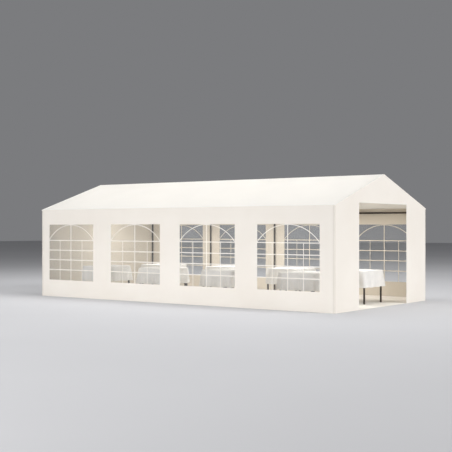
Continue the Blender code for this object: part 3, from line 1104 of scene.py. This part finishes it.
def foot_bolts(number, row):
    """Two bolt heads that hold a post's foot plate down."""
    bm = bmesh.new()
    low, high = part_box(f"{row}_post_{number}")
    inner_y = high.y - 0.014 if row == "front" else low.y + 0.014
    for x in (low.x + 0.016, high.x - 0.016):
        add_bolt(bm, (x, inner_y, FOOT_PLATE_TOP - SUNK / 2), (0, 0, 1), 0.0055)
    return finish_mesh(f"{row}_foot_bolts_{number}", bm, joint_coat)


for number, x in enumerate(BOW_PLACES, 1):
    ridge_joint(number, x)
    foot_bolts(number, "front")
    foot_bolts(number, "back")
print("5 ridge joints and 10 pairs of foot bolts")

# %% [markdown]
# ## Tables
# The tables are beech, stained nearly black and lacquered. The stain is darker in the open pores,
# so a noise that is stretched along the legs gives streaks of two browns. Grain lines are 1 mm
# apart on beech, and are drawn at 5 mm to show.

# %% Stained beech
GRAIN_SCALE = (200.0, 200.0, 9.0)  # streaks 5 mm across and about 11 cm long, upright as the legs


def stained_beech():
    """Dark stained wood with streaks along its length."""
    material, tree, shader = new_material("stained_beech_dark")
    place = add(tree, "ShaderNodeTexCoord")
    settings = {"Vector": place.outputs["Object"], "Scale": GRAIN_SCALE}
    stretched = add(tree, "ShaderNodeMapping", settings)
    settings = {"Vector": stretched.outputs[0], "Scale": 1.0, "Detail": 4.0}
    grain = add(tree, "ShaderNodeTexNoise", settings)
    streaks = grain.outputs["Fac"]
    tree.links.new(tone(tree, streaks, "241C14", "3E3226", 0.35, 0.7), shader.inputs["Base Color"])
    tree.links.new(scaled(tree, streaks, 0.35, 0.5), shader.inputs["Roughness"])
    tree.links.new(bump(tree, streaks, 0.0004), shader.inputs["Normal"])
    shader.inputs["Coat Weight"].default_value = 0.3
    shader.inputs["Coat Roughness"].default_value = 0.3
    return material


beech = stained_beech()
coat(TABLE_NAMES, beech)
print(len(TABLE_NAMES), "tables stained")

# %% [markdown]
# ## Tablecloths
# A tablecloth is cotton, woven in a plain weave. The ones here are sewn to fit: a flat top, and a
# drop that is cut a little full, so that it flares and hangs in a few soft folds. That sewn shape
# is drawn first, with the folds where the seam is gathered. No formula lets cloth settle as gravity
# does, so Blender's cloth simulation then lets the drop hang from the edge of the table. Two cloths
# are simulated. Turned and mirrored, they serve eight tables without two neighbours looking alike.

# %% White cotton
COTTON_SHOWN = 0.003  # real threads are 0.4 mm apart; drawn coarser so that they show


def white_cotton():
    """Matt white cotton with a plain weave and a soft fuzz."""
    material, tree, shader = new_material("white_cotton_plain_weave")
    colour = tone(tree, clouds(tree, 0.2, seed=30.0), "E4E2DE", "ECEAE7")
    tree.links.new(colour, shader.inputs["Base Color"])
    shader.inputs["Roughness"].default_value = 0.88
    shader.inputs["Sheen Weight"].default_value = 0.25
    shader.inputs["Sheen Roughness"].default_value = 0.5
    tree.links.new(bump(tree, weave_height(tree, COTTON_SHOWN), 0.00025), shader.inputs["Normal"])
    return material


cotton = white_cotton()
print("made", cotton.name)

# %% The cut of a cloth
CLOTH_DROP = 0.352
CUT_CELLS = 60
TOP_RING = 0.56  # this share of the grid's rings lies on the table, the rest hangs


def round_square(side, corner, turn):
    """A point on a square with round corners. turn goes from 0 to 8, half a side for each unit."""
    quarter, rest = divmod(turn, 2.0)
    straight = side - corner
    run = 2 * straight + corner * math.pi / 2
    travelled = run * rest / 2
    if travelled < straight:
        x, y = side, travelled
    elif travelled < straight + corner * math.pi / 2:
        angle = (travelled - straight) / corner
        x, y = straight + corner * math.cos(angle), straight + corner * math.sin(angle)
    else:
        x, y = run - travelled, side
    for _ in range(int(quarter) % 4):
        x, y = -y, x
    return x, y


def ring_and_turn(a, b):
    """Which ring of a square grid from -1 to 1 a place is on, and how far round it."""
    ring = max(abs(a), abs(b))
    if ring == 0:
        return 0.0, 0.0
    if a >= abs(b):
        turn = b / ring
    elif b >= abs(a):
        turn = 2.0 - a / ring
    elif -a >= abs(b):
        turn = 4.0 - b / ring
    else:
        turn = 6.0 + a / ring
    return ring, turn % 8.0


def top_point(ring, turn):
    """A point on the part that lies on the table. Its rings keep round corners."""
    share = min(ring / TOP_RING, 1.0)
    return round_square(share * TABLE_HALF, max(share * TABLE_CORNER, 1e-6), turn)


def outward(turn):
    """The direction straight out from the edge of the table top, at this place round it."""
    before = round_square(TABLE_HALF, TABLE_CORNER, (turn - 0.004) % 8.0)
    after = round_square(TABLE_HALF, TABLE_CORNER, (turn + 0.004) % 8.0)
    along = Vector((after[0] - before[0], after[1] - before[1], 0.0)).normalized()
    return Vector((along.y, -along.x, 0.0))


print("a cloth hangs", CLOTH_DROP, "m down from a top", round(2 * TABLE_HALF, 2), "m square")

# %% The sewn shape
EDGE_RADIUS = 0.008
EDGE_TURN = EDGE_RADIUS * math.pi / 2
CLOTH_LIFT = 0.0025
FLARE = 0.026
CORNER_FLARE = 0.026
FOLD = 0.022
FOLDS_ROUND = 13


def fold_height(turn, seed):
    """From -1 to 1: how far in or out the gathered drop is at a place round the table."""
    angle = turn * math.pi / 4
    place = Vector((math.cos(angle), math.sin(angle), 0.0))
    drift = 1.6 * noise.noise(1.3 * place + Vector((0, 0, seed)))
    strength = 0.62 + 0.75 * noise.noise(2.1 * place + Vector((0, 0, seed + 9)))
    return max(strength, 0.2) * math.sin(FOLDS_ROUND * angle + drift * 3)


def sewn_point(ring, turn, seed):
    """A point of the sewn cloth, with the table top's face at height 0."""
    x, y = top_point(ring, turn)
    if ring <= TOP_RING:
        return Vector((x, y, CLOTH_LIFT))
    down = (ring - TOP_RING) / (1 - TOP_RING) * CLOTH_DROP
    bend = min(down, EDGE_TURN) / EDGE_RADIUS
    straight = max(down - EDGE_TURN, 0.0)
    share = straight / (CLOTH_DROP - EDGE_TURN)
    corner = abs(math.sin(math.pi * turn / 2)) ** 3
    out = 0.004 + EDGE_RADIUS * math.sin(bend) * 0.5
    out += (FLARE + CORNER_FLARE * corner) * share
    out += FOLD * (1 + 0.7 * corner) * fold_height(turn, seed) * share ** 0.7
    height = CLOTH_LIFT - EDGE_RADIUS * (1 - math.cos(bend)) - straight * 0.995
    return Vector((x, y, height)) + outward(turn) * out


def sewn_cloth(seed):
    """Points, faces and flat places of the sewn cloth on its grid."""
    marks = [2 * k / CUT_CELLS - 1 for k in range(CUT_CELLS + 1)]
    points, faces, grid = patch(marks, marks, lambda a, b: sewn_point(*ring_and_turn(a, b), seed))
    flat = []
    for a, b in grid:
        ring, turn = ring_and_turn(a, b)
        x, y = top_point(ring, turn)
        down = max(ring - TOP_RING, 0.0) / (1 - TOP_RING) * CLOTH_DROP
        out = outward(turn)
        flat.append((x + out.x * down, y + out.y * down))
    return points, faces, flat


print("folds round one cloth:", FOLDS_ROUND)

# %% Let a cloth hang over a table top
SIM_FRAMES = 24
COTTON_FALL = {
    "quality": 8,
    "mass": 0.2,
    "tension_stiffness": 60,
    "compression_stiffness": 60,
    "shear_stiffness": 30,
    "bending_stiffness": 1.5,
    "air_damping": 3.0,
    "vertex_group_mass": "pinned",
}


def table_form():
    """A stand-in for the top of a table, for the cloth to hang from."""
    bm = bmesh.new()
    outline = [round_square(TABLE_HALF - 0.002, TABLE_CORNER, k / 8) for k in range(64)]
    face = bm.faces.new([bm.verts.new((x, y, -0.03)) for x, y in outline])
    grown = bmesh.ops.extrude_face_region(bm, geom=[face])["geom"]
    raised = [item for item in grown if isinstance(item, bmesh.types.BMVert)]
    bmesh.ops.translate(bm, verts=raised, vec=(0, 0, 0.03))
    bmesh.ops.recalc_face_normals(bm, faces=bm.faces)
    mesh = bpy.data.meshes.new("table_form")
    bm.to_mesh(mesh)
    bm.free()
    form = in_scene("table_form", mesh)
    form.modifiers.new("collision", "COLLISION")
    form.collision.thickness_outer = 0.001
    form.collision.cloth_friction = 5
    return form


def hang(seed):
    """Simulate one cloth and return its points, faces and flat places."""
    form = table_form()
    points, faces, flat = sewn_cloth(seed)
    mesh = bpy.data.meshes.new("sewn_cloth")
    mesh.from_pydata(points, [], faces)
    cloth = in_scene("sewn_cloth", mesh)
    pinned = cloth.vertex_groups.new(name="pinned")
    held = [k for k, point in enumerate(points) if point.z > 0.8 * CLOTH_LIFT]
    pinned.add(held, 1.0, "REPLACE")
    fall = cloth.modifiers.new("fall", "CLOTH")
    for field, value in COTTON_FALL.items():
        setattr(fall.settings, field, value)
    fall.collision_settings.distance_min = 0.002
    fall.point_cache.frame_end = SIM_FRAMES
    scene = bpy.context.scene
    for number in range(1, SIM_FRAMES + 1):
        scene.frame_set(number)
    shape = cloth.evaluated_get(bpy.context.evaluated_depsgraph_get()).to_mesh()
    points = [vertex.co.copy() for vertex in shape.vertices]
    for obj in (cloth, form):
        bpy.data.objects.remove(obj)
    scene.frame_set(1)
    return points, faces, flat


drop = hang
draped = [drop(seed) for seed in (1.0, 2.0)]
for points, faces, flat in draped:
    print("cloth hangs to", round(min(point.z for point in points), 3), "m below the table top")

# %% [markdown]
# The two shapes are now set on the tables. Each gets a quarter turn of its own, and every other
# one is mirrored. Solidify gives the cotton a thickness, and a thin rolled hem runs round the edge.

# %% Cloths on the tables
COTTON_THICK = 0.0012
HEM_ROLL = 0.0022


def edge_loop(cells):
    """Numbers of the points round the edge of the cut, in order."""
    side = cells + 1
    bottom = list(range(side))
    right = [side * k + cells for k in range(1, side)]
    top = [side * cells + k for k in range(cells - 1, -1, -1)]
    left = [side * k for k in range(cells - 1, 0, -1)]
    return bottom + right + top + left


def rolled_hem(name, loop_points):
    """A thin closed roll along the edge of a cloth."""
    count = len(loop_points)
    angles = [math.pi / 3 * n for n in range(6)]
    bm = bmesh.new()
    rings = []
    for k, point in enumerate(loop_points):
        along = (loop_points[(k + 1) % count] - loop_points[k - 1]).normalized()
        side = along.cross(Vector((0, 0, 1))).normalized()
        up = side.cross(along)
        spokes = [math.cos(angle) * side + math.sin(angle) * up for angle in angles]
        rings.append([bm.verts.new(point + HEM_ROLL / 2 * spoke) for spoke in spokes])
    for ring, following in zip(rings, rings[1:] + rings[:1]):
        for n in range(len(angles)):
            bm.faces.new((ring[n - 1], ring[n], following[n], following[n - 1]))
    return finish_mesh(name, bm, cotton, 60)


def lay_cloth(number):
    """Put a draped cloth on a table: pick a shape, mirror it, turn it and move it there."""
    points, faces, flat = draped[number % 2]
    low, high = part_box(f"table_{number}")
    middle = Vector(((low.x + high.x) / 2, (low.y + high.y) / 2, TABLE_TOP))
    turn = Matrix.Rotation(math.radians(90) * ((number * 3) // 2), 4, "Z")
    mirror = -1 if number % 4 in (2, 3) else 1
    placed = [middle + turn @ Vector((point.x * mirror, point.y, point.z)) for point in points]
    cloth = sheet(
        f"tablecloth_{number}_draped",
        [(placed, faces, flat)],
        cotton,
        thick=COTTON_THICK,
        flip=mirror < 0,
        replaced=[f"tablecloth_{number}"],
    )
    cloth.modifiers["thickness"].offset = 1
    hem = rolled_hem(f"tablecloth_{number}_hem", [placed[k] for k in edge_loop(CUT_CELLS)])
    return cloth


for number in range(1, 9):
    cloth = lay_cloth(number)
print("8 cloths,", len(cloth.data.polygons), "faces each")

# %% [markdown]
# ## Floor, light and camera
# The studio is a wide pale floor under a plain grey sky. A large soft source hangs above the tent,
# with a second one in front of it and a third high up beyond the doorway.
# Two long strips just over the floor light the feet of the walls, as bright ground does outdoors,
# so that the walls grow a little brighter towards the ground. Light linking keeps their light off
# the floor itself, where it would leave a streak. One soft source under the roof stands for the
# daylight that a real roof lets through to the tables.

# %% Studio floor
FLOOR_SIZE = 160.0
FLOOR_LEVEL = -0.001


def studio_floor():
    """A wide matt floor, just under the tent."""
    material, tree, shader = new_material("studio_floor_pale")
    colour = tone(tree, clouds(tree, 6.0, seed=40.0), "C2C2C4", "C6C6C8")
    tree.links.new(colour, shader.inputs["Base Color"])
    shader.inputs["Roughness"].default_value = 0.9
    shader.inputs["Specular IOR Level"].default_value = 0.1
    mesh = bpy.data.meshes.new("studio_floor")
    half = FLOOR_SIZE / 2
    signs = ((-1, -1), (1, -1), (1, 1), (-1, 1))
    corners = [(x * half, y * half, FLOOR_LEVEL) for x, y in signs]
    mesh.from_pydata(corners, [], [(0, 1, 2, 3)])
    mesh.materials.append(material)
    floor = in_scene("studio_floor", mesh)
    return floor


floor = studio_floor()
print(floor.name, FLOOR_SIZE, "m wide")

# %% Sky and lamps
SKY = "A9AAAD"
SKY_STRENGTH = 0.50


def area_lamp(name, place, target, size, power):
    """A soft white light of this width and depth at a place, facing a target."""
    lamp = bpy.data.lights.new(name, "AREA")
    lamp.shape = "RECTANGLE"
    lamp.size, lamp.size_y = size
    lamp.energy = power
    obj = in_scene(name, lamp)
    obj.location = place
    obj.rotation_euler = (Vector(target) - Vector(place)).to_track_quat("-Z", "Y").to_euler()
    obj.visible_camera = False
    return obj


LAMPS = {  # place, target, width and depth in metres, power in watts
    "overhead_softbox": ((-2.6, -1.0, 12.0), (-1.2, 0.0, 0.0), (16.0, 16.0), 1530.0),
    "front_softbox": ((0.0, -18.0, 2.6), (0.3, 0.0, 0.9), (14.0, 4.0), 1200.0),
    "gable_softbox": ((30.0, 3.0, 22.0), (4.0, 0.2, 0.8), (15.0, 15.0), 9000.0),
    "front_foot_strip": ((0.5, -3.5, 0.06), (0.5, -2.0, 0.5), (9.5, 0.25), 15.0),
    "gable_foot_strip": ((5.5, 0.2, 0.06), (4.0, 0.2, 0.5), (4.5, 0.25), 6.8),
    "under_roof_softbox": ((0.0, 0.35, 1.95), (0.0, 0.35, 0.0), (7.0, 1.0), 84.0),
}
world = bpy.data.worlds.new("studio_sky")
world.use_nodes = True
sky = world.node_tree.nodes["Background"]
sky.inputs["Color"].default_value = linear(SKY)
sky.inputs["Strength"].default_value = SKY_STRENGTH
bpy.context.scene.world = world
not_under_strips = bpy.data.collections.new("not_under_strips")
not_under_strips.objects.link(floor)
not_under_strips.collection_objects[0].light_linking.link_state = "EXCLUDE"
for name, settings in LAMPS.items():
    lamp = area_lamp(name, *settings)
    if "strip" in name:
        lamp.light_linking.receiver_collection = not_under_strips
bpy.context.scene.view_settings.view_transform = "Standard"
print("sky and", len(LAMPS), "soft lamps")

# %% [markdown]
# The camera stands to the right of the tent's front corner at eye height and looks level, so that
# the posts stay upright. Its place, direction and lens come from fitting the tent's known corners
# to the photograph.

# %% Camera
CAMERA_PLACE = (12.810, -17.287, 1.595)
CAMERA_YAW = 126.590  # degrees from +X, anticlockwise
CAMERA_PITCH = 0.151  # degrees above level
LENS = 74.60  # mm, on a 36 mm wide sensor

camera_data = bpy.data.cameras.new("camera")
camera_data.lens = LENS
camera_data.sensor_width = 36.0
camera_data.clip_end = 300.0
camera = in_scene("camera", camera_data)
camera.location = CAMERA_PLACE
camera.rotation_euler = (math.radians(90 + CAMERA_PITCH), 0.0, math.radians(CAMERA_YAW - 90))
bpy.context.scene.camera = camera
print("camera at", CAMERA_PLACE)
